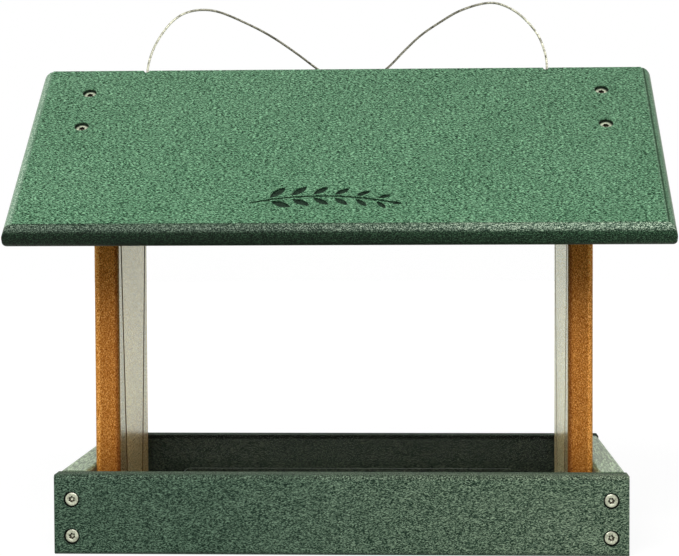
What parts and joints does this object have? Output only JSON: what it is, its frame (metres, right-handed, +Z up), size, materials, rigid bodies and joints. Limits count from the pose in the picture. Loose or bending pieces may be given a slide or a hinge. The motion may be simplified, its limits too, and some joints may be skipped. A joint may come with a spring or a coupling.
{
  "type": "hopper bird feeder",
  "caption": "Hopper bird feeder: open tray, two end walls, leaning clear windows with feed slots, and a pitched roof that lifts along its looped steel hanging cable.",
  "frame": {"origin": "middle of the tray's underside, on the surface that the feeder stands on", "axes": "+Z up, +X to the right along the ridge as seen from the front, -Y towards the front"},
  "size_m": [0.407, 0.2654, 0.3525],
  "materials": {
    "green_roof_board": "mottled mid-green recycled-plastic board with light and dark flecks, satin",
    "green_tray_board": "mottled dark grey-green recycled-plastic board with light and dark flecks, satin",
    "tan_board": "cedar-tan recycled-plastic board with fine flecks, satin",
    "clear_pane": "clear sheet with polished cut edges",
    "stainless_screw": "stainless steel, satin",
    "steel_cable": "stranded stainless steel wire rope",
    "steel_eye": "bent and threaded stainless wire",
    "crimped_sleeve": "crimped aluminium sleeve"
  },
  "bodies": {
    "base": {"front_rail": "green_tray_board", "back_rail": "green_tray_board", "left_rail": "green_tray_board", "right_rail": "green_tray_board", "tray_floor": "green_tray_board", "left_end_wall": "tan_board", "right_end_wall": "tan_board", "front_rail_screws": "stainless_screw", "back_rail_screws": "stainless_screw", "end_wall_screws": "stainless_screw", "left_cable_eye": "steel_eye", "right_cable_eye": "steel_eye", "left_cable_stop": "crimped_sleeve", "right_cable_stop": "crimped_sleeve", "left_cable_tail": "steel_cable", "right_cable_tail": "steel_cable"},
    "roof": {"roof_front_board": "green_roof_board", "roof_back_board": "green_roof_board", "left_gable_board": "green_roof_board", "right_gable_board": "green_roof_board", "front_roof_screws": "stainless_screw", "back_roof_screws": "stainless_screw", "hanging_cable": "steel_cable"},
    "front_window": {"front_window": "clear_pane"},
    "back_window": {"back_window": "clear_pane"}
  },
  "joints": [
    {"name": "roof_lift", "type": "slide", "parent": "base", "child": "roof", "axis": [0, 0, 1], "range_m": [0, 0.05]},
    {"name": "front_window_slide", "type": "slide", "parent": "base", "child": "front_window", "axis": [0, -0.1132, 0.9936], "range_m": [0, 0.013]},
    {"name": "back_window_slide", "type": "slide", "parent": "base", "child": "back_window", "axis": [0, 0.1132, 0.9936], "range_m": [0, 0.013]}
  ]
}
